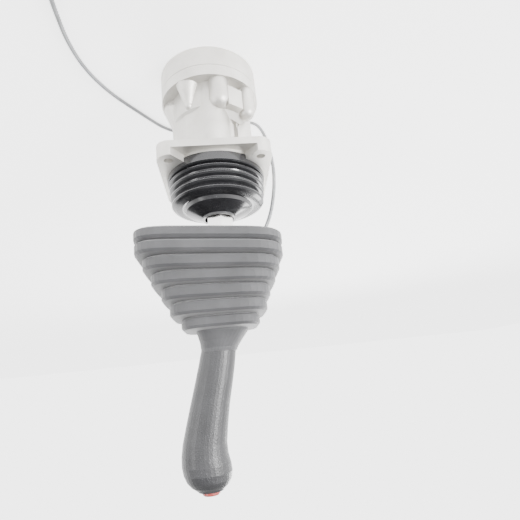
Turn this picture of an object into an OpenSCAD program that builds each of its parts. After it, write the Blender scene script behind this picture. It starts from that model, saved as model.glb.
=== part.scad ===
// Hydraulic pilot control joystick: a cast valve block that carries a spring-centred lever.
// Origin: centre of the surface it stands on. +Z runs up the block, -Y is the front,
// and the cast web of the block and the lean of the grip are towards +X. Millimetres.

/* [Valve block] */
// Radius of the port plate and of the ring above it
base_r = 40; // [38:0.5:44]
// Thickness of the rim of a port cap
cap_lip = 1; // [0.6:0.1:2]
// Thickness of the port plate
plate_h = 18; // [17:0.5:20]
// Height of the ring at the foot of the casting
ring_h = 9; // [7:0.5:11]
// Height of the casting from its foot to the flange
block_h = 66; // [60:1:72]
// Radius of the circle that the four spools lie on
spool_pitch = 18; // [17:0.25:19]
// Radius of the round lobe cast over each spool
lobe_r = 14.5; // [13:0.25:15.5]

/* [Mounting flange] */
// Width of the square flange
flange_w = 84; // [80:0.5:90]
// Thickness of the flange between its lugs
flange_t = 5.5; // [4:0.25:7]
// Height of the corner lugs
lug_h = 11.5; // [9:0.25:13]
// Corner radius of the flange
flange_r = 10; // [7:0.5:12]
// Distance between the mounting holes
hole_pitch = 67; // [64:0.5:68]
// Diameter of the mounting holes, for M6 bolts
hole_d = 6.6; // [5:0.1:7.2]

/* [Plungers] */
// Diameter of a push rod
rod_d = 7; // [6:0.25:8]
// Diameter of a guide bush
bush_d = 16; // [15:0.25:17]
// Diameter of a spool
spool_d = 8; // [7:0.25:9]
// Radial clearance of the sliding fits
fit = 0.04; // [0.02:0.01:0.08]
// Gap between a rod's dome and the swash disc at rest
dome_gap = 0.3; // [0.25:0.05:0.5]

/* [Universal joint] */
// Height of the joint's centre above the deck of the block
pivot_rise = 13; // [12.8:0.1:14]
// Radius of the cross pins
pin_r = 2; // [1.6:0.1:2.2]
// Half width of a yoke's ear
ear_w = 3.4; // [3:0.1:3.5]
// Radius of the swash disc
disc_r = 22.5; // [22:0.25:24]
// Thickness of the swash disc
disc_t = 4; // [3:0.25:4.5]

/* [Lever] */
// Width across the flats of the hexagonal stem
stem_af = 19; // [17:0.5:20]
// Height of the stem's top above the surface
stem_top = 150; // [146:0.5:154]
// Outer radius of the lever tube
tube_r = 7; // [6:0.25:7.5]
// Wall of the lever tube
tube_wall = 2; // [1.5:0.25:2.5]
// Length of the lever tube
tube_len = 139; // [136:0.5:140]
// Lean of the lever tube
tube_lean = 8; // [7.5:0.25:8.5]

/* [Rubber] */
// Wall of the inner bellows
bellows_wall = 1.8; // [1.2:0.1:2.2]
// Wall of the outer boot
boot_wall = 2.6; // [2:0.1:3.2]
// Width of the flat lip under the boot's rim
boot_lip = 8.5; // [6:0.5:10]

/* [Switch and lead] */
// Radius of the push button
button_r = 6; // [5:0.25:6.5]
// Height that the button stands above its bezel
button_proud = 3; // [2.8:0.1:4]
// Diameter of the switch lead
lead_d = 3.2; // [2.6:0.1:3.6]

/* [Hidden] */

$fn = 64;
touch = 0.02;
alu = "#c9c6bf";
steel = "#9da0a4";
dark_steel = "#4a4c50";
rubber = "#1c1c1e";
boot_grey = "#2b2b2d";
plastic = "#151517";

// heights in the block
plate_top = plate_h;
ring_top = plate_top + ring_h;
flange_z = plate_top + block_h;
lug_top = flange_z + lug_h;
deck_z = flange_z + 4;
collar_r = 37.5;
collar_top = flange_z + 8;
spigot_r = 35;
spigot_top = collar_top + 5;
well_r = 33;
neck_r = 31;

// joint of the lever
pivot_z = deck_z + pivot_rise;
pin_len = 8.2;
ear_in = ear_w + 0.8;
bridge_z = pivot_z + 6.6;
disc_z = bridge_z + 2.4;
stud_r = 6;
nut_z = disc_z + disc_t;
nut_h = 5;
stem_z = nut_z + nut_h;
socket_depth = 12;

// plunger train
rod_r = rod_d / 2;
rod_top = disc_z - dome_gap;
bush_r = bush_d / 2;
bush_len = 16;
seat_z = deck_z - bush_len - 6.6 - 3.5;
seat_t = 3.5;
seat_r = bush_r - 0.6;
step_z = seat_z - 18;
spool_r = spool_d / 2;
spool_top = seat_z - 9;
spool_bottom = plate_top + 7.2;
return_wire = 0.8;
metering_wire = 0.5;

// port plate
port_count = 6;
port_pitch = 26;
port_r = 6.58;
cap_r = 8.4;
port_depth = 12;
gallery_r = 2.5;
screw_x = 9;
screw_r = 3;
screw_head_r = 5;
screw_head_h = 6;
pin_at = [35 * sin(30), -35 * cos(30)];

// lever, grip and switch
tube_base = stem_top + 2;
function on_tube(s) = [s * sin(tube_lean), 0, tube_base + s * cos(tube_lean)];
tube_end = on_tube(tube_len);
switch_x = tube_end[0];
switch_z = tube_end[2] + 2;
switch_h = 16.5;
switch_r = 8;
spring_h = button_proud + 2;
button_z = switch_z + switch_h + spring_h;
bezel_top = 317;
bezel_h = 4.5;
screw_s = 112;
boot_top = 230.5;
slot_s = 13;

module at_azimuth(a) rotate([0, 0, a]) children();
module mirrored_y() {
    children();
    mirror([0, 1, 0]) children();
}
// children at each spool, in the order front, right, back, left
module at_spool(i) rotate([0, 0, i * 90]) translate([0, -spool_pitch, 0]) children();
module at_all_spools() for (i = [0:3]) at_spool(i) children();
module at_ports() for (i = [0:port_count - 1]) rotate([0, 0, i * 360 / port_count])
    translate([0, -port_pitch, 0]) children();
module along_tube(s = 0) translate(on_tube(s)) rotate([0, tube_lean, 0]) children();

// ---------- valve block ----------

// One cast boss at azimuth a from the front, its axis r from the middle
module round_boss(a, r, boss_r, top) rotate([0, 0, a]) translate([0, -r, 0]) {
    translate([0, 0, ring_top - 1]) cylinder(r = boss_r, h = top - ring_top + 1);
    translate([0, 0, top]) sphere(r = boss_r);
}

// The tapered boss whose outer side is cut off by a flat
module cut_boss(a, r) rotate([0, 0, a]) translate([0, -r, ring_top - 1]) difference() {
    union() {
        cylinder(r1 = 9.8, r2 = 3.4, h = 18);
        translate([0, 0, 18]) sphere(r = 3.6);
    }
    translate([5.6, -14, -1]) rotate([0, -12, 0]) cube([12, 30, 34]);
    translate([-1, -8, 8.4]) sphere(r = 1.5);
}

module upper_outline() {
    for (i = [0:3]) rotate(i * 90) translate([0, -spool_pitch]) circle(r = lobe_r);
    circle(r = lobe_r + 11.5);
    polygon([[0, -30], [8, -30.2], [20.4, -21.9], [31, -9], [31, 9], [20.4, 21.9], [8, 30.2],
             [0, 30]]);
}

module side_groove() rotate([0, 0, -45]) {
    translate([-2.4, -40, ring_top + 27]) cube([4.8, 17.6, 40]);
    translate([-3.2, -40, flange_z - 15]) cube([6.4, 18.6, 12]);
    translate([0, -24.6, ring_top + 26]) rotate([90, 0, 0]) cylinder(r = 5.4, h = 12);
}

module lower_block() {
    translate([0, 0, ring_top - 1]) cylinder(r = 31.4, h = 22);
    translate([0, 0, ring_top + 21]) cylinder(r1 = 31.4, r2 = 26, h = 6);
    translate([26, 0, ring_top - 1]) cylinder(r = 12.4, h = 6);
    translate([26, 0, ring_top + 5]) cylinder(r1 = 12.4, r2 = 6.8, h = 15);
    mirrored_y() {
        cut_boss(34, 30.4);
        round_boss(-13, 31, 8, ring_top + 16);
        round_boss(-57, 33.8, 6.2, ring_top + 20);
        rotate([0, 0, -34]) translate([-5.6, -36.4, ring_top + 6]) cube([13.2, 12, 16.5]);
    }
}

module square_flange() {
    half = flange_w / 2;
    inner = half - flange_r;
    difference() {
        translate([0, 0, flange_z]) union() {
            translate([-inner, -half, 0]) cube([2 * inner, flange_w, lug_h]);
            translate([-half, -inner, 0]) cube([flange_w, 2 * inner, lug_h]);
            for (x = [-inner, inner], y = [-inner, inner])
                translate([x, y, 0]) cylinder(r = flange_r, h = lug_h);
        }
        mirrored_y() translate([0, 0, flange_z + flange_t]) linear_extrude(lug_h)
            polygon([[-half + 11, -half - 1], [-half + 11, -half], [-22, -30], [22, -30],
                     [half - 11, -half], [half - 11, -half - 1]]);
        for (x = [-1, 1], y = [-1, 1]) translate([x, y, 0] * hole_pitch / 2)
            translate([0, 0, flange_z - 1]) cylinder(d = hole_d, h = lug_h + 2);
        translate([0, 0, flange_z - 1]) cylinder(r = spigot_r - 0.5, h = lug_h + 2);
    }
}

module collar() rotate_extrude($fn = 96) polygon([
    [neck_r, flange_z], [collar_r + 1, flange_z], [collar_r, flange_z + 1],
    [collar_r, collar_top], [spigot_r, collar_top], [spigot_r, spigot_top - 2.4],
    [spigot_r + 0.7, spigot_top - 1.4], [spigot_r, spigot_top - 0.4], [spigot_r - 0.4, spigot_top],
    [well_r, spigot_top], [well_r, deck_z - 0.5], [neck_r, deck_z - 0.5]]);

module valve_body() color(alu) difference() {
    union() {
        translate([0, 0, plate_top]) cylinder(r = base_r, h = ring_h, $fn = 96);
        lower_block();
        translate([0, 0, flange_z - 3]) cylinder(r1 = 34, r2 = 37.6, h = 3, $fn = 96);
        difference() {
            translate([0, 0, ring_top - 1]) linear_extrude(flange_z - ring_top + 1)
                upper_outline();
            mirrored_y() side_groove();
        }
        translate([0, 0, flange_z - 1]) cylinder(r = neck_r, h = deck_z - flange_z + 1, $fn = 96);
    }
    at_all_spools() {
        translate([0, 0, plate_top - 1]) cylinder(r = spool_r + fit, h = deck_z);
        translate([0, 0, step_z]) cylinder(r = bush_r + touch, h = deck_z);
    }
    translate([0, 0, deck_z - 16]) cylinder(r = stud_r + touch, h = 20);
    for (x = [-screw_x, screw_x]) translate([x, 0, plate_top - 1])
        cylinder(r = screw_r + touch, h = 19);
    translate([pin_at[0], pin_at[1], plate_top - 1]) cylinder(r = 2 + touch, h = 7);
}

module mounting_flange() color(alu) difference() {
    union() {
        square_flange();
        collar();
    }
    translate([0, 0, flange_z - 1]) cylinder(r = neck_r + touch, h = deck_z - flange_z + 1, $fn = 96);
}

module port_plate() color(alu) difference() {
    rotate_extrude($fn = 96) polygon([
        [0, 0], [base_r - 1, 0], [base_r, 1], [base_r, plate_h - 0.5],
        [base_r - 0.6, plate_h], [0, plate_h]]);
    at_ports() {
        translate([0, 0, -1]) cylinder(r = port_r, h = port_depth + 1);
        translate([0, 0, -1]) cylinder(r = cap_r + touch, h = cap_lip + 1);
        translate([0, 0, port_depth]) cylinder(r = gallery_r, h = plate_h);
        translate([0, 0, plate_top - 1.4]) cylinder(r = gallery_r + 2.2, h = 3);
    }
    for (x = [-screw_x, screw_x]) translate([x, 0, -1]) {
        cylinder(r = screw_r + 0.3, h = plate_h + 4);
        cylinder(r = screw_head_r + 0.4, h = screw_head_h + 2.5);
    }
    translate([pin_at[0], pin_at[1], plate_top - 6]) cylinder(r = 2 + touch, h = 8);
}

module port_caps() color(plastic) at_ports() rotate_extrude() polygon([
    [0, 0], [cap_r, 0], [cap_r, cap_lip], [port_r - 0.04, cap_lip], [port_r - 0.04, 7.5],
    [port_r - 1, 8.5], [port_r - 1.8, 8.5], [port_r - 1.8, 2.4], [0, 2.4]]);

module plate_o_rings() color(rubber) at_ports() translate([0, 0, plate_top - 0.7])
    rotate_extrude($fn = 32) translate([gallery_r + 1.1, 0]) circle(r = 0.7, $fn = 16);

module socket_screw(r, head_r, head_h, length) difference() {
    union() {
        cylinder(r = r, h = length);
        cylinder(r = head_r, h = head_h);
    }
    translate([0, 0, -1]) cylinder(r = head_r * 0.55, h = head_h * 0.5 + 1, $fn = 6);
}

module plate_screws() color(dark_steel) for (x = [-screw_x, screw_x])
    translate([x, 0, 1.5]) socket_screw(screw_r, screw_head_r, screw_head_h, 32);

module locating_pin() color(steel) translate([pin_at[0], pin_at[1], plate_top - 5.5])
    cylinder(r = 2, h = 11);

module retaining_plate() color(steel) difference() {
    translate([0, 0, deck_z]) cylinder(r = well_r - 0.2, h = 3.5, $fn = 96);
    at_all_spools() translate([0, 0, deck_z - 1]) cylinder(r = rod_r + 0.6, h = 6);
    translate([0, 0, deck_z - 1]) cylinder(r = stud_r + 0.2, h = 6);
}

// Folded profile of the inner bellows: an outer skin and the same skin set in by its wall
band_r = 38.5;
band_top = collar_top + 7;
fold_heights = [band_top + 2.6, band_top + 8, band_top + 13.4, band_top + 18.7];
cap_z = fold_heights[3] + 2.9;
crown_r = 26.6;
lip_r = 11.6;
lip_z = cap_z + 7.6;
stem_hole_r = stem_af / sqrt(3) + 0.25;
function crest(z, r, half) = [[r - 3.4, z - half], [r - 1, z - half * 0.55], [r, z - half * 0.1],
    [r, z + half * 0.1], [r - 1, z + half * 0.55], [r - 3.4, z + half]];
function bellows_skin(g) = concat([[band_r - g, band_top - 0.6], [band_r - 1 - g, band_top],
    [band_r - 5 - g, band_top + 0.6 + g * 0.2]],
    crest(fold_heights[0], 37.8 - g, 2.1), crest(fold_heights[1], 37.4 - g, 2.2),
    crest(fold_heights[2], 36.9 - g, 2.2), crest(fold_heights[3], 36 - g, 2.3),
    [[crown_r + 1.5 - g, cap_z - g * 0.7], [crown_r - g, cap_z - g * 0.7],
     [crown_r - 1.4 - g, cap_z + 2.4 - g], [lip_r + 1.6, lip_z - g]]);
function reversed(list) = [for (i = [len(list) - 1:-1:0]) list[i]];
module inner_bellows() color(rubber) rotate_extrude($fn = 96) polygon(concat(
    [[spigot_r + 0.05, collar_top + 0.05], [band_r, collar_top + 0.05]], bellows_skin(0),
    [[lip_r + 1.4, lip_z], [lip_r + 1.4, lip_z + 1.6], [stem_hole_r, lip_z + 1.6],
     [stem_hole_r, lip_z - bellows_wall]],
    reversed(bellows_skin(bellows_wall)),
    [[spigot_r - 1.9, spigot_top + 0.1], [spigot_r + 0.05, spigot_top + 0.1],
     [spigot_r + 0.75, spigot_top - 1.4], [spigot_r + 0.05, spigot_top - 2.5]]));

// ---------- plunger trains ----------

module guide_bushes() color("#b89a5a") at_all_spools() difference() {
    translate([0, 0, deck_z - bush_len]) cylinder(r = bush_r, h = bush_len);
    translate([0, 0, deck_z - bush_len - 1]) cylinder(r = rod_r + fit, h = bush_len + 2);
    translate([0, 0, deck_z - 9]) rotate_extrude() translate([bush_r - 1.3, 0])
        square([3, 2]);
}

module bush_seals() color(rubber) at_all_spools() translate([0, 0, deck_z - 8])
    rotate_extrude() translate([bush_r - 0.7, 0]) circle(r = 0.66, $fn = 16);

module rod(i) color(steel) at_spool(i) rotate_extrude() polygon(concat(
    [[0, seat_z + seat_t], [rod_r - 0.6, seat_z + seat_t], [rod_r, seat_z + seat_t + 0.6]],
    [for (a = [0:10:90]) [rod_r * cos(a), rod_top - rod_r + rod_r * sin(a)]]));

module spring_seat(i) color(dark_steel) at_spool(i) rotate_extrude() polygon([
    [0, seat_z], [2.2, seat_z], [2.2, seat_z - 4], [3.6, seat_z - 4], [3.6, seat_z],
    [seat_r, seat_z], [seat_r, seat_z + 2], [5, seat_z + seat_t], [0, seat_z + seat_t]]);

module spool(i) color(steel) at_spool(i) rotate_extrude() polygon([
    [0, spool_bottom], [spool_r - 0.4, spool_bottom], [spool_r, spool_bottom + 0.4],
    [spool_r, spool_bottom + 7], [spool_r - 1.4, spool_bottom + 7.6],
    [spool_r - 1.4, spool_bottom + 11], [spool_r, spool_bottom + 11.6],
    [spool_r, step_z + 1.5], [spool_r - 1, step_z + 2], [spool_r - 1, spool_top - 2],
    [spool_r + 0.9, spool_top - 2], [spool_r + 0.9, spool_top], [1.9, spool_top],
    [1.9, spool_top + 3], [0, spool_top + 3]]);

function outward(faces) = [for (f = faces) reversed(f)];
// A closed tube swept along points, sides round and a ring at each point
function ring_frame(p, q) = let (d = (q - p) / norm(q - p),
    a = abs(d[2]) < 0.9 ? [0, 0, 1] : [0, 1, 0], u = cross(a, d) / norm(cross(a, d)))
    [u, cross(d, u)];
module swept(points, r, sides) {
    n = len(points);
    rings = [for (i = [0:n - 1]) let (a = points[max(i - 1, 0)], b = points[min(i + 1, n - 1)],
        f = ring_frame(a, b)) for (k = [0:sides - 1]) points[i] + r * (cos(k * 360 / sides) * f[0]
        + sin(k * 360 / sides) * f[1])];
    walls = [for (i = [0:n - 2], k = [0:sides - 1]) [i * sides + k, i * sides + (k + 1) % sides,
        (i + 1) * sides + (k + 1) % sides, (i + 1) * sides + k]];
    polyhedron(rings, outward(concat(walls, [[for (k = [sides - 1:-1:0]) k]],
        [[for (k = [0:sides - 1]) (n - 1) * sides + k]])));
}

// A compression spring between z0 and z1, its coil radius measured to the wire's middle
module coil_spring(z0, z1, coil_r, wire, turns, steps = 10) {
    low = z0 + wire + touch;
    high = z1 - wire - touch;
    n = turns * steps;
    swept([for (i = [0:n]) [coil_r * cos(i * 360 / steps), coil_r * sin(i * 360 / steps),
        low + (high - low) * i / n]], wire, 5);
}

module return_spring(i) color(steel) at_spool(i)
    coil_spring(step_z, seat_z, seat_r - return_wire - 0.2, return_wire, 5);
module metering_spring(i) color(steel) at_spool(i)
    coil_spring(spool_top, seat_z, spool_r + 0.3, metering_wire, 4);

// ---------- universal joint and swash disc ----------

module ear_pair(top, foot) for (side = [-1, 1]) difference() {
    union() {
        translate([side * (ear_in + 2), 0, 0]) rotate([0, 90, 0])
            cylinder(r = ear_w, h = 4, center = true);
        translate([side * (ear_in + 2) - 2, -ear_w, min(top, foot)])
            cube([4, 2 * ear_w, abs(foot - top)]);
    }
    rotate([0, 90, 0]) cylinder(r = pin_r + fit, h = 40, center = true);
}

module joint_base() color(dark_steel) {
    translate([0, 0, deck_z - 15.5]) cylinder(r = stud_r, h = 19);
    translate([0, 0, deck_z + 3.5]) cylinder(r = 10.4, h = 2.4, $fn = 6);
    translate([0, 0, pivot_z]) ear_pair(0, deck_z + 5 - pivot_z);
}

module joint_cross() color(steel) translate([0, 0, pivot_z]) {
    translate([-ear_w, -ear_w, -ear_w]) cube(2 * ear_w);
    rotate([0, 90, 0]) cylinder(r = pin_r, h = 2 * pin_len, center = true);
    rotate([90, 0, 0]) cylinder(r = pin_r, h = 2 * pin_len, center = true);
}

module joint_fork() color(dark_steel) {
    translate([0, 0, pivot_z]) rotate([0, 0, 90]) ear_pair(0, bridge_z + 0.5 - pivot_z);
    translate([0, 0, bridge_z]) cylinder(r = 9, h = disc_z - bridge_z);
    translate([0, 0, bridge_z + 1]) cylinder(r = stud_r, h = stem_z + socket_depth - bridge_z - 2);
}

module swash_disc() color(steel) rotate_extrude($fn = 96) polygon([
    [stud_r + touch, disc_z], [disc_r - 1, disc_z], [disc_r, disc_z + 1],
    [disc_r, nut_z - 1.4], [disc_r - 1.4, nut_z - 0.6], [12, nut_z], [stud_r + touch, nut_z]]);

module lock_nut() color(steel) difference() {
    intersection() {
        translate([0, 0, nut_z]) cylinder(r = 17 / sqrt(3), h = nut_h, $fn = 6);
        translate([0, 0, nut_z - 1]) cylinder(r1 = 12.5, r2 = 8.6, h = nut_h + 1.6);
    }
    translate([0, 0, nut_z - 1]) cylinder(r = stud_r + touch, h = nut_h + 2);
}

// ---------- lever ----------

module hex_stem() color(steel) difference() {
    intersection() {
        translate([0, 0, stem_z]) rotate([0, 0, 24]) cylinder(r = stem_af / sqrt(3),
            h = stem_top - stem_z, $fn = 6);
        translate([0, 0, stem_z]) cylinder(r1 = stem_af / 2 + 0.4, r2 = 50, h = 40);
        translate([0, 0, stem_top - 40]) cylinder(r1 = 50, r2 = stem_af / 2 + 0.4, h = 40);
    }
    translate([0, 0, stem_z - 1]) cylinder(r = stud_r + touch, h = socket_depth + 1);
}

module tube_socket() color(dark_steel) difference() {
    union() {
        translate([0, 0, stem_top]) cylinder(r = 8.6, h = 4, $fn = 6);
        along_tube(-1) cylinder(r = tube_r + 1.8, h = 4.4);
    }
    along_tube(0) cylinder(r = tube_r + touch, h = 20);
    translate([-20, -20, stem_top - 10]) cube([40, 40, 10]);
}

module lever_tube() color(steel) difference() {
    along_tube() cylinder(r = tube_r, h = tube_len);
    along_tube(-1) cylinder(r = tube_r - tube_wall, h = tube_len + 2);
    along_tube(slot_s) translate([-12, -3, -4]) cube([12, 6, 11]);
    along_tube(screw_s) rotate([-90, 0, 0]) cylinder(r = 2 + touch, h = 12);
}

// Rounded-rectangle outline of a moulding: half width, half depth, and how square it is
outline_n = 36;
function outline(w, d, square) = [for (k = [0:outline_n - 1]) let (t = k * 360 / outline_n,
    c = cos(t), s = sin(t), e = 2 / square) [w * sign(c) * pow(abs(c), e),
    d * sign(s) * pow(abs(s), e)]];
// One station of a moulding: [height, middle x, half width, half depth, squareness, tilt]
function station_points(st) = [for (p = outline(st[2], st[3], st[4])) [st[1] + p[0] * cos(st[5]),
    p[1], st[0] - p[0] * sin(st[5])]];
module moulding(stations) {
    n = outline_n;
    m = len(stations);
    points = [for (st = stations) for (p = station_points(st)) p];
    walls = [for (j = [0:m - 2], k = [0:n - 1]) [j * n + k, j * n + (k + 1) % n,
        (j + 1) * n + (k + 1) % n, (j + 1) * n + k]];
    polyhedron(points, outward(concat(walls, [[for (k = [n - 1:-1:0]) k]],
        [[for (k = [0:n - 1]) (m - 1) * n + k]])));
}

// Folds of the boot from its rim up: [height, middle x, half width, half depth, half height,
// tilt, squareness]
boot_folds = [
    [154.8, 9.0, 52.3, 44.6, 3.9, 4.2, 5.4],
    [164.1, 9.1, 52.0, 44.2, 4.0, 4.2, 5.2],
    [173.4, 8.2, 48.0, 40.8, 4.1, 3.4, 5.0],
    [182.6, 7.5, 43.6, 37.2, 4.0, 2.4, 4.8],
    [192.1, 6.6, 38.4, 33.0, 4.2, 1.8, 4.4],
    [202.0, 5.5, 34.4, 29.8, 4.2, 0.8, 4.0],
    [211.4, 4.9, 27.8, 24.4, 3.7, 0.4, 3.5]];
boot_neck = [[217.2, 4.2, 18.4, 18.0, 2.5, 0.4], [222.8, 5.6, 15.4, 15.2, 2.2, 0],
    [228, 7.2, 13.2, 13.1, 2, 0], [boot_top, 8.0, 12.7, 12.7, 2, 0]];
groove_depth = 4.6;
function fold_ring(f, dz, grow) = [f[0] + dz, f[1], f[2] + grow, f[3] + grow, f[6], f[5]];
function groove_ring(f, g, grow) = [(f[0] + f[4] + g[0] - g[4]) / 2, (f[1] + g[1]) / 2,
    g[2] - groove_depth + 1.4 + grow, g[3] - groove_depth + 1.4 + grow, g[6],
    (f[5] + g[5]) / 2];
neck_foot = boot_neck[0];
function next_fold(i) = i + 1 < len(boot_folds) ? boot_folds[i + 1]
    : [neck_foot[0] + 1, neck_foot[1], neck_foot[2] + 3.2, neck_foot[3] + 3.2, 1.5, 0.4, 2.8];

module outer_boot() color(boot_grey) difference() {
    moulding(concat([for (i = [0:len(boot_folds) - 1]) let (f = boot_folds[i], h = f[4])
        for (st = [fold_ring(f, -h, -1.2), fold_ring(f, -h + 1.1, 0), fold_ring(f, h - 1.7, 0),
            fold_ring(f, h, -1.7), groove_ring(f, next_fold(i), 0)]) st], boot_neck));
    moulding(concat(
        [fold_ring(boot_folds[0], -boot_folds[0][4] - 1, -boot_lip),
         fold_ring(boot_folds[0], -boot_folds[0][4] + 2, -boot_lip)],
        [for (i = [0:len(boot_folds) - 1]) let (f = boot_folds[i], h = f[4])
            for (st = [fold_ring(f, 0, -boot_wall), groove_ring(f, next_fold(i), -boot_wall)]) st],
        [[217, 4.0, 15.6, 15.2, 2.4, 0.4], [221, 5.1, 13.2, 12.9, 2.2, 0]]));
    along_tube() cylinder(r = tube_r + 0.3, h = 100);
}

// Grip from the neck up: [height, middle x, half width, half depth, squareness, tilt]
grip_stations = [
    [boot_top + 0.1, 8.4, 12.5, 12.8, 2.1, 0],
    [240, 10.3, 12.8, 13.2, 2.2, 3],
    [252, 13.2, 13.1, 13.7, 2.2, 5],
    [265, 16.5, 13.4, 14.2, 2.2, 6],
    [278, 19.4, 14.1, 14.8, 2.2, 5],
    [289, 21.6, 14.8, 15.4, 2.2, 3],
    [296, 22.0, 15.5, 15.9, 2.1, 2],
    [302, 21.4, 16.2, 16.3, 2.1, 1],
    [307, 20.7, 16.0, 16.1, 2, 0],
    [311.5, 20.1, 14.6, 14.7, 2, 0],
    [314.6, 19.7, 12.2, 12.2, 2, 0],
    [316.4, 19.5, 9.8, 9.8, 2, 0],
    [bezel_top, 19.4, 8.9, 8.9, 2, 0]];

module grip() color(plastic) difference() {
    moulding(grip_stations);
    along_tube() cylinder(r = tube_r + touch, h = tube_len + 1);
    translate([switch_x, 0, switch_z - 0.5]) cylinder(r = switch_r + touch, h = 60);
    translate([switch_x, 0, switch_z - 6]) cylinder(r = lead_r + 1.6, h = 8);
    along_tube(screw_s) rotate([-90, 0, 0]) {
        cylinder(r = 2 + touch, h = 30);
        translate([0, 0, 13]) cylinder(r = 3.4, h = 10);
    }
}

module grip_screw() color(steel) along_tube(screw_s) rotate([-90, 0, 0])
    translate([0, 0, 5.6]) difference() {
        union() {
            cylinder(r = 2, h = 7.4);
            translate([0, 0, 7.4]) cylinder(r1 = 3, r2 = 2.6, h = 1.4);
        }
        translate([0, 0, 7.2]) cylinder(r = 1.2, h = 4, $fn = 6);
    }

module button_bezel() color(dark_steel) translate([switch_x, 0, bezel_top - bezel_h])
    rotate_extrude() polygon([
        [button_r + fit, 0], [switch_r, 0], [switch_r, bezel_h], [switch_r + 0.8, bezel_h],
        [switch_r + 0.5, bezel_h + 0.7], [button_r + 0.6, bezel_h + 0.7],
        [button_r + fit, bezel_h + 0.3]]);

module horn_switch() color(plastic) translate([switch_x, 0, switch_z]) difference() {
    union() {
        cylinder(r = switch_r - 0.05, h = switch_h - 4);
        cylinder(r = switch_r - 2.2, h = switch_h);
    }
    translate([0, 0, switch_h - 6]) cylinder(r = 2.1 + fit, h = 8);
    translate([0, 0, -1]) cylinder(r = lead_d / 2 + touch, h = 4);
}

module horn_button() color("#7d1f1a") translate([switch_x, 0, 0]) rotate_extrude() polygon([
    [0, button_z - spring_h - 3], [2.1, button_z - spring_h - 3], [2.1, button_z],
    [button_r, button_z], [button_r, bezel_top + button_proud - 0.6],
    [button_r - 0.8, bezel_top + button_proud + 0.2], [0, bezel_top + button_proud - 0.4]]);

module button_spring() color(steel) translate([switch_x, 0, 0])
    coil_spring(button_z - spring_h, button_z, 3.4, 0.35, 3);

// ---------- switch lead ----------

lead_r = lead_d / 2;
lead_exit = [-11, 1, 159];
module switch_lead() color("#5a5c60") swept([
    [switch_x, 0, switch_z + 2.9], on_tube(tube_len - 4), on_tube(100), on_tube(60),
    on_tube(30), on_tube(20), [0.8, 0, 168], [-2.6, 0.1, 163.6], [-7, 0.5, 160.7], lead_exit],
    lead_r, 8);

module lead_grommet() color(rubber) translate([-7.4, 0.5, 160.9]) rotate([0, -113, 0]) difference() {
    cylinder(r = 3.4, h = 3, center = true);
    cylinder(r = lead_r + 0.35, h = 8, center = true);
}

// Route of the lead from the tube's slot, behind the block and away over the surface
loop_route = [lead_exit + [-0.05, 0.006, -0.02], [-12.2, 1.15, 158.49], [-15.8, 2.9, 156.4], [-21, 6, 152.6], [-26.5, 10, 147.6],
    [-31.6, 14, 141.8], [-36.2, 17.4, 135], [-40.4, 20, 127], [-44, 21.8, 118], [-47, 22.8, 108],
    [-49.4, 23.4, 97], [-51, 24, 86], [-51.8, 24.8, 75], [-51.6, 26, 64]];
tail_route = [[-51.6, 26, 64], [-50.8, 27.8, 53], [-49.6, 30.4, 42], [-48, 34, 31],
    [-45.4, 39, 21], [-41.6, 45.4, 12.4], [-36.2, 52.6, 6], [-29.4, 59, 2.6],
    [-21, 64.2, 1.6], [-11, 68.2, 1.6], [0, 70.8, 1.6], [12, 72, 1.6], [25, 71.4, 1.6],
    [38, 67.8, 1.6], [49, 59, 1.6], [59, 46, 1.6], [67.6, 34, 1.6], [75.6, 22.6, 1.6],
    [83, 11, 1.6], [89.4, -1.4, 1.6], [94.4, -14, 1.6], [97.8, -27, 1.6], [99.6, -40, 1.6],
    [100.2, -53, 1.6], [99.6, -66, 1.6], [98.6, -79, 1.6], [97.2, -92, 1.6],
    [94.9, -107.2, 1.6]];
// The lead's last stretch, from the coil's upper turn down to its two terminals
end_route = [[62.4, -138.8, 3], [54, -139.8, 1.9], [45, -141, 1.9]];
// Points halfway along a route, for a smoother tube
function halfway(route) = [for (i = [0:len(route) - 2], h = [0, 0.5])
    h == 0 ? route[i] : let (a = route[max(i - 1, 0)], b = route[i], c = route[i + 1],
    d = route[min(i + 2, len(route) - 1)]) (9 * (b + c) - a - d) / 16];
function with_end(route) = concat(halfway(route), [route[len(route) - 1]]);

module lead_loop() color("#77797d") swept(loop_route, lead_r, 8);
module lead_tail() color("#77797d") swept(with_end(tail_route), lead_r, 8);

coil_at = [72, -116, 0];
coil_mean_r = 18.4;
coil_rows = 3;
coil_layers = 2;
module lead_coil() color("#77797d") translate(coil_at) rotate_extrude()
    translate([coil_mean_r - coil_rows * lead_r, 0]) square([2 * coil_rows * lead_r,
        coil_layers * lead_d]);

module lead_terminals() color("#b9a56a") {
    swept(end_route, lead_r, 8);
    translate([40, -141, 1.9]) rotate([90, 0, 90]) linear_extrude(7) {
        for (side = [-1.75, 1.75]) translate([side, 0]) circle(r = 1.9);
        square([3.5, 3.8], center = true);
    }
    for (side = [-1.75, 1.75]) translate([41, -141 + side, 1.9]) rotate([0, -90, 0])
        rotate_extrude() polygon([[0, 0], [1.1, 0], [1.1, 5], [1.6, 5.6], [1.6, 12],
            [1.1, 12.6], [1.1, 18], [0, 18]]);
}

// ---------- one line per node ----------

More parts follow.
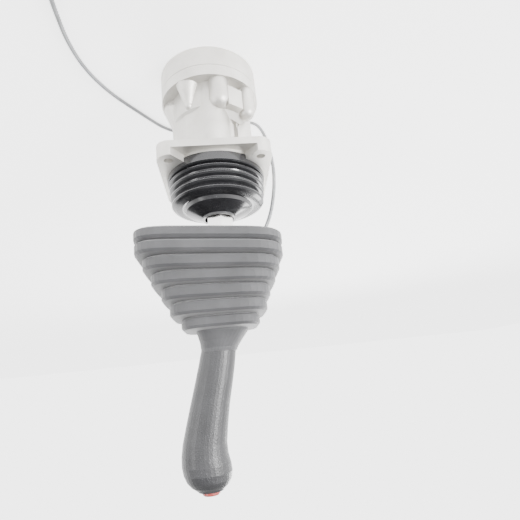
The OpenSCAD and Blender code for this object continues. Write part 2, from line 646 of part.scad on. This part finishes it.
valve_body();
mounting_flange();
port_plate();
port_caps();
plate_o_rings();
plate_screws();
locating_pin();
retaining_plate();
joint_base();
guide_bushes();
bush_seals();
inner_bellows();
joint_cross();
joint_fork();
swash_disc();
lock_nut();
hex_stem();
tube_socket();
lever_tube();
outer_boot();
grip();
grip_screw();
button_bezel();
horn_switch();
horn_button();
button_spring();
switch_lead();
lead_grommet();
lead_loop();
lead_tail();
lead_coil();
lead_terminals();
rod(0);  // rod_front
rod(1);  // rod_right
rod(2);  // rod_back
rod(3);  // rod_left
spring_seat(0);  // spring_seat_front
spring_seat(1);  // spring_seat_right
spring_seat(2);  // spring_seat_back
spring_seat(3);  // spring_seat_left
spool(0);  // spool_front
spool(1);  // spool_right
spool(2);  // spool_back
spool(3);  // spool_left
return_spring(0);  // return_spring_front
return_spring(1);  // return_spring_right
return_spring(2);  // return_spring_back
return_spring(3);  // return_spring_left
metering_spring(0);  // metering_spring_front
metering_spring(1);  // metering_spring_right
metering_spring(2);  // metering_spring_back
metering_spring(3);  // metering_spring_left
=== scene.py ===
# %% [markdown]
# # A hydraulic pilot joystick, dressed in Blender
# The pieces come from the imported frame, where every piece already sits in its place. This lesson gives
# them their finishes and models anew what a solid of the frame can't show: the lead, which in the real
# joystick bends with the lever, and its two terminals. Lengths are in metres, unless a comment gives
# millimetres, +Z is up the valve block, and the front is -Y.

# %% Load the frame
import bpy
import bmesh
import math
from mathutils import Matrix, Vector


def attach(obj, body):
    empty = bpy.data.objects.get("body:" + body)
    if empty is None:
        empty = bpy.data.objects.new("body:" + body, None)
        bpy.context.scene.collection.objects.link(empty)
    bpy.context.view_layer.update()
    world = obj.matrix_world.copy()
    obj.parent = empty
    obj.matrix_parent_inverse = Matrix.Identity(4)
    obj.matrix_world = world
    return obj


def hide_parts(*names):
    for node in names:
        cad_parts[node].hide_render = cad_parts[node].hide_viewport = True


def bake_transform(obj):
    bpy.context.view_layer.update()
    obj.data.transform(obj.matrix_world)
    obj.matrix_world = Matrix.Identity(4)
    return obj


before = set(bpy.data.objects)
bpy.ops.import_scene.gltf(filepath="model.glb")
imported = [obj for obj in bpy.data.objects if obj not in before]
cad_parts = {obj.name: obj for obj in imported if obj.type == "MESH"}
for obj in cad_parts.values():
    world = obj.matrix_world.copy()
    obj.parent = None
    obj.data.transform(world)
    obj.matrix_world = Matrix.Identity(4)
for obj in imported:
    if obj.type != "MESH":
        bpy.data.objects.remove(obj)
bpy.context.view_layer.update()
bpy.ops.object.select_all(action="DESELECT")
MM = 0.001
SMOOTH_UNDER = math.radians(40)

# %% [markdown]
# ## The camera
# The joystick is looked at from the front and a little above, with the camera turned half over, so that
# it hangs head down in the picture. A camera looks along its own -Z, with +Y up in the picture, so its
# axes are written down as three columns and become its matrix.

# %% Camera
camera_data = bpy.data.cameras.new("view")
camera_data.sensor_width = 36
camera_data.lens = 27.97
camera_data.clip_start = 0.01
camera = bpy.data.objects.new("view", camera_data)
bpy.context.collection.objects.link(camera)
across = Vector((-0.9914, -0.0794, 0.1037)).normalized()
towards = Vector((0.1054, -0.9553, 0.2763)).normalized()
upward = towards.cross(across).normalized()
turn = Matrix((across, upward, towards)).transposed().to_4x4()
camera.matrix_world = Matrix.Translation((0.0043, -0.2957, 0.2506)) @ turn
bpy.context.scene.camera = camera
print("camera at", [round(v, 3) for v in camera.location])

# %% [markdown]
# ## Light and floor
# A white floor and a bright even world give the soft studio look. Three wide lamps put long highlights
# along the glossy rubber and the stem: a big key at the left, a weaker fill at the right, and a strip
# behind that picks out the edges.

# %% Floor
bpy.ops.mesh.primitive_grid_add(x_subdivisions=4, y_subdivisions=4, size=6, location=(0, 1.2, 0))
floor = bpy.context.object
floor.name = "floor"
bpy.ops.object.transform_apply(location=True, rotation=True, scale=True)
print("floor:", len(floor.data.polygons), "faces")

# %% World
# The sky is white low down and greyer overhead, so that faces turned up are the darker ones, and its
# front half is dimmer at the grip's side, which rounds the block.
world = bpy.data.worlds.new("studio")
bpy.context.scene.world = world
world.use_nodes = True
sky = world.node_tree
background = sky.nodes["Background"]
direction = sky.nodes.new("ShaderNodeTexCoord")
split = sky.nodes.new("ShaderNodeSeparateXYZ")
sky.links.new(direction.outputs["Generated"], split.inputs[0])


def eased(source, low, high, at_low, at_high):
    node = sky.nodes.new("ShaderNodeMapRange")
    node.interpolation_type = "SMOOTHSTEP"
    for name, value in (("From Min", low), ("From Max", high), ("To Min", at_low), ("To Max", at_high)):
        node.inputs[name].default_value = value
    sky.links.new(source, node.inputs["Value"])
    return node.outputs["Result"]


height = eased(split.outputs["Z"], 0.35, 0.7, 4.2, 1.1)
beside = eased(split.outputs["X"], -0.5, 0.7, 1.0, 0.45)
behind = eased(split.outputs["Y"], -0.1, 0.35, 0.0, 1.0)
even = sky.nodes.new("ShaderNodeMix")
sky.links.new(behind, even.inputs["Factor"])
sky.links.new(beside, even.inputs[2])
even.inputs[3].default_value = 1.0  # the half behind the joystick isn't dimmed
strength = sky.nodes.new("ShaderNodeMath")
strength.operation = "MULTIPLY"
sky.links.new(height, strength.inputs[0])
sky.links.new(even.outputs[0], strength.inputs[1])
sky.links.new(strength.outputs[0], background.inputs["Strength"])
background.inputs["Color"].default_value = (1, 1, 1, 1)
print("world nodes:", len(sky.nodes))

# %% Lamps


def lamp(name, place, aim, width, height, power):
    data = bpy.data.lights.new(name, "AREA")
    data.shape = "RECTANGLE"
    data.size = width
    data.size_y = height
    data.energy = power
    thing = bpy.data.objects.new(name, data)
    bpy.context.collection.objects.link(thing)
    thing.location = place
    thing.rotation_euler = (Vector(aim) - Vector(place)).to_track_quat("-Z", "Y").to_euler()


lamp("key", (-0.85, -0.75, 0.16), (0, 0, 0.12), 0.28, 0.5, 30)
lamp("fill", (0.9, -0.6, 0.3), (0, 0, 0.15), 0.3, 0.7, 5)
lamp("rim", (-0.3, 0.9, 0.7), (0, 0, 0.15), 0.9, 0.3, 12)
print("lamps:", len(bpy.data.lights))

# %% [markdown]
# ## Finishes
# Each finish is one small node tree. Object coordinates carry the patterns, so that a pattern keeps its
# size in metres and stays put when the piece moves. One helper builds the tree: a base colour, a
# second colour mixed in by a large noise for wear and handling, a roughness band, and bumps made of
# one or two noises.

# %% Helper for a finish


def finish_of(name, colour, second, spread=90.0, amount=0.5, metal=0.0, rough=(0.4, 0.5),
              grain=None, fine=None, coat=0.0, sheen=0.0, spec=0.5, cells=False):
    made = bpy.data.materials.new(name)
    made.use_nodes = True
    tree = made.node_tree
    shader = tree.nodes["Principled BSDF"]
    place = tree.nodes.new("ShaderNodeTexCoord")
    patches = tree.nodes.new("ShaderNodeTexNoise")
    patches.inputs["Scale"].default_value = spread
    patches.inputs["Detail"].default_value = 6
    tree.links.new(place.outputs["Object"], patches.inputs["Vector"])
    ramp = tree.nodes.new("ShaderNodeValToRGB")
    first_stop, second_stop = ramp.color_ramp.elements
    first_stop.position = 0.5 - 0.5 * amount * 0.5
    second_stop.position = 0.5 + 0.5 * amount * 0.5
    first_stop.color = (*colour, 1)
    second_stop.color = (*second, 1)
    tree.links.new(patches.outputs["Fac"], ramp.inputs["Fac"])
    tree.links.new(ramp.outputs["Color"], shader.inputs["Base Color"])
    band = tree.nodes.new("ShaderNodeMapRange")
    band.inputs["To Min"].default_value = rough[0]
    band.inputs["To Max"].default_value = rough[1]
    tree.links.new(patches.outputs["Fac"], band.inputs["Value"])
    tree.links.new(band.outputs["Result"], shader.inputs["Roughness"])
    shader.inputs["Metallic"].default_value = metal
    shader.inputs["Coat Weight"].default_value = coat
    shader.inputs["Coat Roughness"].default_value = 0.12
    shader.inputs["Sheen Weight"].default_value = sheen
    shader.inputs["Specular IOR Level"].default_value = spec
    last = None
    for bump_made in (grain, fine):
        if bump_made is None:
            continue
        scale, depth, strength = bump_made
        if cells and bump_made is grain:
            texture = tree.nodes.new("ShaderNodeTexVoronoi")
            texture.feature = "DISTANCE_TO_EDGE"
            height = texture.outputs["Distance"]
        else:
            texture = tree.nodes.new("ShaderNodeTexNoise")
            texture.inputs["Detail"].default_value = 4
            height = texture.outputs["Fac"]
        texture.inputs["Scale"].default_value = scale
        tree.links.new(place.outputs["Object"], texture.inputs["Vector"])
        bump = tree.nodes.new("ShaderNodeBump")
        bump.inputs["Strength"].default_value = strength
        bump.inputs["Distance"].default_value = depth
        tree.links.new(height, bump.inputs["Height"])
        if last is not None:
            tree.links.new(last.outputs["Normal"], bump.inputs["Normal"])
        last = bump
    if last is not None:
        tree.links.new(last.outputs["Normal"], shader.inputs["Normal"])
    return made


# %% [markdown]
# The metals. Cast aluminium is grey and slightly warm, with a blasted skin of fine pits, darker where
# hands and oil have been. Machined faces are smoother and brighter.

# %% Metals
casting = finish_of("blasted_casting", (0.50, 0.485, 0.455), (0.62, 0.605, 0.575), 60, 0.9, 0.82,
                    (0.40, 0.56), (900, 0.00022, 0.55), (2600, 0.00008, 0.5))
turned = finish_of("turned_steel", (0.46, 0.46, 0.47), (0.58, 0.58, 0.59), 120, 0.8, 1.0,
                   (0.24, 0.36), (1800, 0.00003, 0.3))
plated = finish_of("plated_steel", (0.72, 0.71, 0.69), (0.84, 0.83, 0.81), 70, 0.9, 1.0,
                   (0.13, 0.26), (1400, 0.00003, 0.22))
blackened = finish_of("blackened_steel", (0.045, 0.046, 0.05), (0.09, 0.09, 0.095), 110, 0.8, 0.75,
                      (0.34, 0.48), (1500, 0.00003, 0.3))
bronze = finish_of("bearing_bronze", (0.46, 0.30, 0.12), (0.58, 0.39, 0.17), 130, 0.8, 1.0,
                   (0.26, 0.4), (1500, 0.00003, 0.3))
tinned = finish_of("tinned_brass", (0.66, 0.50, 0.22), (0.78, 0.66, 0.36), 300, 0.9, 1.0,
                   (0.2, 0.34), (2600, 0.00002, 0.3))

# %% [markdown]
# The rubbers and plastics. The inner bellows is a glossy black rubber, the outer boot a matte one with
# a sandy grain, and the grip has the pebbled grain of leather, which a cell pattern gives.

# %% Rubbers and plastics
glossy_rubber = finish_of("glossy_rubber", (0.010, 0.010, 0.011), (0.020, 0.020, 0.022), 80, 0.9, 0,
                          (0.16, 0.27), (1300, 0.00003, 0.25), coat=0.35)
matte_rubber = finish_of("matte_rubber", (0.030, 0.030, 0.032), (0.052, 0.052, 0.055), 55, 0.9, 0,
                         (0.56, 0.72), (1500, 0.00016, 0.5), (4200, 0.00006, 0.5), sheen=0.25)
seal_rubber = finish_of("seal_rubber", (0.016, 0.016, 0.018), (0.03, 0.03, 0.032), 200, 0.8, 0,
                        (0.4, 0.55), (2400, 0.00004, 0.4))
grained_grip = finish_of("grained_grip", (0.013, 0.013, 0.014), (0.026, 0.026, 0.028), 70, 0.9, 0,
                         (0.34, 0.48), (620, 0.0003, 0.55), (2600, 0.00006, 0.4), cells=True)
moulded_black = finish_of("moulded_black", (0.014, 0.014, 0.016), (0.026, 0.026, 0.028), 160, 0.8, 0,
                          (0.34, 0.46), (2400, 0.00004, 0.35))
button_red = finish_of("button_red", (0.24, 0.018, 0.012), (0.33, 0.03, 0.02), 240, 0.8, 0,
                       (0.22, 0.32), (2600, 0.00002, 0.2), coat=0.3)
grey_sheath = finish_of("grey_sheath", (0.17, 0.175, 0.18), (0.25, 0.255, 0.26), 220, 0.8, 0,
                        (0.24, 0.36), (1800, 0.00004, 0.25), coat=0.2)
yellow_sheath = finish_of("yellow_sheath", (0.62, 0.36, 0.03), (0.72, 0.46, 0.06), 300, 0.8, 0,
                          (0.3, 0.42), (2400, 0.00003, 0.2))
brown_sheath = finish_of("brown_sheath", (0.10, 0.045, 0.02), (0.15, 0.07, 0.03), 300, 0.8, 0,
                         (0.3, 0.42), (2400, 0.00003, 0.2))
paper_floor = finish_of("paper_floor", (0.86, 0.86, 0.86), (0.90, 0.90, 0.90), 3, 0.9, 0,
                        (0.7, 0.85), (60, 0.0002, 0.1))
paper = paper_floor.node_tree.nodes["Principled BSDF"]
paper.inputs["Emission Color"].default_value = (1, 1, 1, 1)
paper.inputs["Emission Strength"].default_value = 2.2
floor.data.materials.append(paper_floor)
print("finishes:", len(bpy.data.materials))

# %% [markdown]
# ## Finishes for the frame's own pieces
# Every solid of the frame is kept as it is, and only its material slots are filled.

# %% Paint the frame's pieces
SIDES = ("front", "right", "back", "left")
finishes = {
    "port_plate": casting, "valve_body": casting, "mounting_flange": casting,
    "port_caps": moulded_black,
    "plate_o_rings": seal_rubber, "bush_seals": seal_rubber, "lead_grommet": seal_rubber,
    "plate_screws": blackened, "joint_base": blackened, "joint_fork": blackened,
    "tube_socket": blackened, "button_bezel": blackened, "locating_pin": turned,
    "retaining_plate": turned, "joint_cross": turned, "swash_disc": turned, "lock_nut": turned,
    "lever_tube": turned, "button_spring": turned, "hex_stem": plated, "grip_screw": plated,
    "guide_bushes": bronze, "inner_bellows": glossy_rubber, "outer_boot": matte_rubber,
    "grip": grained_grip, "horn_switch": moulded_black, "horn_button": button_red,
    "switch_lead": grey_sheath, "lead_loop": grey_sheath, "lead_tail": grey_sheath,
    "lead_coil": grey_sheath, "lead_terminals": tinned}
for side in SIDES:
    for part in ("rod_", "spool_", "return_spring_", "metering_spring_"):
        finishes[part + side] = turned
    finishes["spring_seat_" + side] = blackened
for name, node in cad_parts.items():
    if not node.material_slots:
        node.data.materials.append(finishes[name])
    for slot in node.material_slots:
        slot.material = finishes[name]
print("painted", len(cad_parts), "pieces")


# %% [markdown]
# ## The lead
# The lead is a thin grey cable. It comes out of the slot in the lever's tube, hangs behind the block,
# runs over the floor and ends in a coil with two crimped terminals. In the real joystick the stretch
# above the surface follows the lever, which tilts about two axes. Here the lead is cut into three cords
# end to end, meant for between cross and lever, between block and cross, and on the floor; the first
# two are left unattached, and the last lies still, attached to the block.

# %% The lead's route
lead_d = 0.0032
exit_point = (-11.05, 1.006, 158.98)
loop_route = [exit_point, (-12.2, 1.15, 158.49), (-15.8, 2.9, 156.4), (-21, 6, 152.6),
              (-26.5, 10, 147.6), (-31.6, 14, 141.8), (-36.2, 17.4, 135), (-40.4, 20, 127),
              (-44, 21.8, 118), (-47, 22.8, 108), (-49.4, 23.4, 97), (-51, 24, 86),
              (-51.8, 24.8, 75), (-51.6, 26, 64)]
tail_route = [(-51.6, 26, 64), (-50.8, 27.8, 53), (-49.6, 30.4, 42), (-48, 34, 31),
              (-45.4, 39, 21), (-41.6, 45.4, 12.4), (-36.2, 52.6, 6), (-29.4, 59, 2.6),
              (-21, 64.2, 1.6), (-11, 68.2, 1.6), (0, 70.8, 1.6), (12, 72, 1.6), (25, 71.4, 1.6),
              (38, 67.8, 1.6), (49, 59, 1.6), (59, 46, 1.6), (67.6, 34, 1.6), (75.6, 22.6, 1.6),
              (83, 11, 1.6), (89.4, -1.4, 1.6), (94.4, -14, 1.6), (97.8, -27, 1.6),
              (99.6, -40, 1.6), (100.2, -53, 1.6), (99.6, -66, 1.6), (98.6, -79, 1.6),
              (97.2, -92, 1.6), (95.4, -105.2, 1.6)]
coil_centre = (72, -116)
turn_radii = (21.6, 18.4, 15.2)
lower_layer, upper_layer = 1.6, 4.8
first_angle, angle_step = -6.0, 15.0
turn_points, last_turn_points, points_before_shift = 24, 5, 20
end_route = [(66.5, -137.7, 4.4), (60.5, -138.8, 3.0), (54, -139.8, 2.0), (47, -141, 1.9),
             (44, -141.4, 1.9)]


def coil_points():
    """Six turns clockwise: three inwards on the surface, then three outwards on top of them."""
    points = []
    turns = [(r, lower_layer) for r in turn_radii] + [(r, upper_layer) for r in reversed(turn_radii)]
    final = len(turns) - 1
    angle = first_angle
    for index, (radius, z) in enumerate(turns):
        for k in range(turn_points if index < final else last_turn_points):
            shift = 0.0
            lift = 0.0
            if index < final and k >= points_before_shift:
                share = (k - points_before_shift + 1) / (turn_points - points_before_shift + 1)
                shift = share * (turns[index + 1][0] - radius)
                lift = share * (turns[index + 1][1] - z)
            a = math.radians(angle)
            points.append((coil_centre[0] + (radius + shift) * math.cos(a),
                           coil_centre[1] + (radius + shift) * math.sin(a), z + lift))
            angle -= angle_step
    return points


PARTS = 4  # short straight parts between two points of a route


def smooth_line(points, parts=PARTS):
    """Points on the smooth curve through the given ones, which are in millimetres, as metres."""
    made = []
    for i in range(len(points) - 1):
        a, b = Vector(points[max(i - 1, 0)]), Vector(points[i])
        c, d = Vector(points[i + 1]), Vector(points[min(i + 2, len(points) - 1)])
        for k in range(parts):
            t = k / parts
            made.append((b * 2 + (c - a) * t + (a * 2 - b * 5 + c * 4 - d) * t ** 2
                         + (b * 3 - a - c * 3 + d) * t ** 3) * 0.5 * MM)
    made.append(Vector(points[-1]) * MM)
    return made


def line_length(points):
    return sum((q - p).length for p, q in zip(points, points[1:]))


whole = smooth_line(loop_route + tail_route[1:] + coil_points() + end_route)
cut_upper = 8 * PARTS  # the ninth point of the route, level with the bellows' top fold
cut_lower = 13 * PARTS  # where the loop ends, below the flange
stretches = {"lead_upper": whole[:cut_upper + 1], "lead_lower": whole[cut_upper:cut_lower + 1],
             "lead_run": whole[cut_lower:]}
for name, points in stretches.items():
    print(name, len(points), "points,", round(line_length(points), 4), "m")

# %% [markdown]
# A tube along a line is quickest as a curve with a round bevel, turned into a mesh.

# %% The lead's tubes


def tube(name, points, radius, material, sides=3):
    data = bpy.data.curves.new(name, "CURVE")
    data.dimensions = "3D"
    data.bevel_depth = radius
    data.bevel_resolution = sides
    data.use_fill_caps = True
    spline = data.splines.new("POLY")
    spline.points.add(len(points) - 1)
    for point, place in zip(spline.points, points):
        point.co = (*place, 1)
    thing = bpy.data.objects.new(name, data)
    bpy.context.collection.objects.link(thing)
    bpy.ops.object.select_all(action="DESELECT")
    thing.select_set(True)
    bpy.context.view_layer.objects.active = thing
    bpy.ops.object.convert(target="MESH")
    thing = bpy.context.object
    thing.name = name
    thing.data.materials.clear()
    thing.data.materials.append(material)
    bpy.ops.object.shade_smooth()
    return thing


tubes = {name: tube(name, points, lead_d / 2, grey_sheath) for name, points in stretches.items()}
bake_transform(tubes["lead_upper"])
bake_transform(tubes["lead_lower"])
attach(tubes["lead_run"], "block")
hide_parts("lead_loop")
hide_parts("lead_loop")
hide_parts("lead_tail", "lead_coil")

# %% [markdown]
# The two terminals are flat crimped pins: a barrel squeezed on its wire, a narrow neck and a rounded
# tongue. Such a pin could be extruded from a cylinder, but its outline is a row of rings, so a profile
# spun about its axis gives it in one step, and its tongue is then pressed flat in edit mode.

# %% Terminals
MERGE_UNDER = 0.000005


def lathe(name, profile, material, place=(0, 0, 0), steps=48, axis=(0, 0, 1)):
    """A turned piece: a profile of (radius, height) in millimetres spun about the axis through place."""
    bpy.ops.object.select_all(action="DESELECT")
    bpy.ops.mesh.primitive_plane_add(size=0.001)
    thing = bpy.context.object
    thing.name = name
    bpy.ops.object.mode_set(mode="EDIT")
    bpy.ops.mesh.delete(type="VERT")
    shape = bmesh.from_edit_mesh(thing.data)
    verts = [shape.verts.new((r * MM, 0, z * MM)) for r, z in profile]
    for p, q in zip(verts, verts[1:]):
        shape.edges.new((p, q))
    bmesh.update_edit_mesh(thing.data)
    bpy.ops.mesh.select_all(action="SELECT")
    bpy.ops.mesh.spin(steps=steps, angle=math.tau, center=(0, 0, 0), axis=(0, 0, 1))
    bpy.ops.mesh.select_all(action="SELECT")
    bpy.ops.mesh.remove_doubles(threshold=MERGE_UNDER)
    bpy.ops.mesh.normals_make_consistent(inside=False)
    bpy.ops.object.mode_set(mode="OBJECT")
    thing.data.transform(Matrix.Translation(Vector(place) * MM)
                         @ Vector(axis).to_track_quat("Z", "Y").to_matrix().to_4x4())
    thing.data.materials.append(material)
    bpy.ops.object.shade_smooth_by_angle(angle=SMOOTH_UNDER)
    return thing


def join(name, things):
    bpy.ops.object.select_all(action="DESELECT")
    for thing in things:
        thing.select_set(True)
    bpy.context.view_layer.objects.active = things[0]
    bpy.ops.object.join()
    made = bpy.context.object
    made.name = name
    return made


pin_profile = [(0, 0), (0.9, 0), (1.05, 0.3), (1.05, 4.6), (1.35, 5.2), (1.6, 5.6), (1.5, 6.6),
               (1.6, 7.6), (1.5, 8.6), (1.6, 9.6), (1.6, 11.8), (1.0, 12.4), (1.0, 16.9), (0.7, 17.8),
               (0, 18)]
end_y, end_z = -141, 1.9  # the middle line of the two pins, in millimetres
pin_offset = 1.75
tongue_x = 0.0284  # the tongue is what lies beyond this
pins = []
for number, side in enumerate((-pin_offset, pin_offset)):
    pin = lathe(f"pin{number}", pin_profile, tinned, (41, end_y + side, end_z), 24, (-1, 0, 0))
    bpy.ops.object.mode_set(mode="EDIT")
    bpy.ops.mesh.select_all(action="DESELECT")
    shape = bmesh.from_edit_mesh(pin.data)
    for vert in shape.verts:
        if vert.co.x < tongue_x:
            vert.select = True
    shape.select_flush(True)
    bmesh.update_edit_mesh(pin.data)
    bpy.ops.transform.resize(value=(1, 1, 0.45),
                             center_override=(0.026, (end_y + side) * MM, end_z * MM))
    bpy.ops.object.mode_set(mode="OBJECT")
    pins.append(pin)
core_radius = 0.0011
core_routes = {"core_a": [(45.5, -141.3, end_z), (43, -142.2, end_z), (38, -142.75, end_z)],
               "core_b": [(45.5, -141.3, end_z), (43, -139.9, end_z), (38, -139.25, end_z)]}
cores = [tube(name, smooth_line(route), core_radius, sheath)
         for (name, route), sheath in zip(core_routes.items(), (yellow_sheath, brown_sheath))]
bpy.ops.object.select_all(action="DESELECT")
bpy.ops.mesh.primitive_cube_add(size=1, location=(0.0435, -0.141, 0.0019))
sleeve = bpy.context.object
sleeve.scale = (0.007, 0.0071, 0.0037)
bpy.ops.object.transform_apply(location=True, rotation=True, scale=True)
bpy.ops.object.mode_set(mode="EDIT")
bpy.ops.mesh.select_all(action="SELECT")
bpy.ops.mesh.bevel(offset=0.0014, segments=5, affect="EDGES")
bpy.ops.object.mode_set(mode="OBJECT")
sleeve.data.materials.append(moulded_black)
bpy.ops.object.shade_smooth_by_angle(angle=SMOOTH_UNDER)
terminals = join("lead_ends", [sleeve] + pins + cores)
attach(terminals, "block")
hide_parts("lead_terminals")
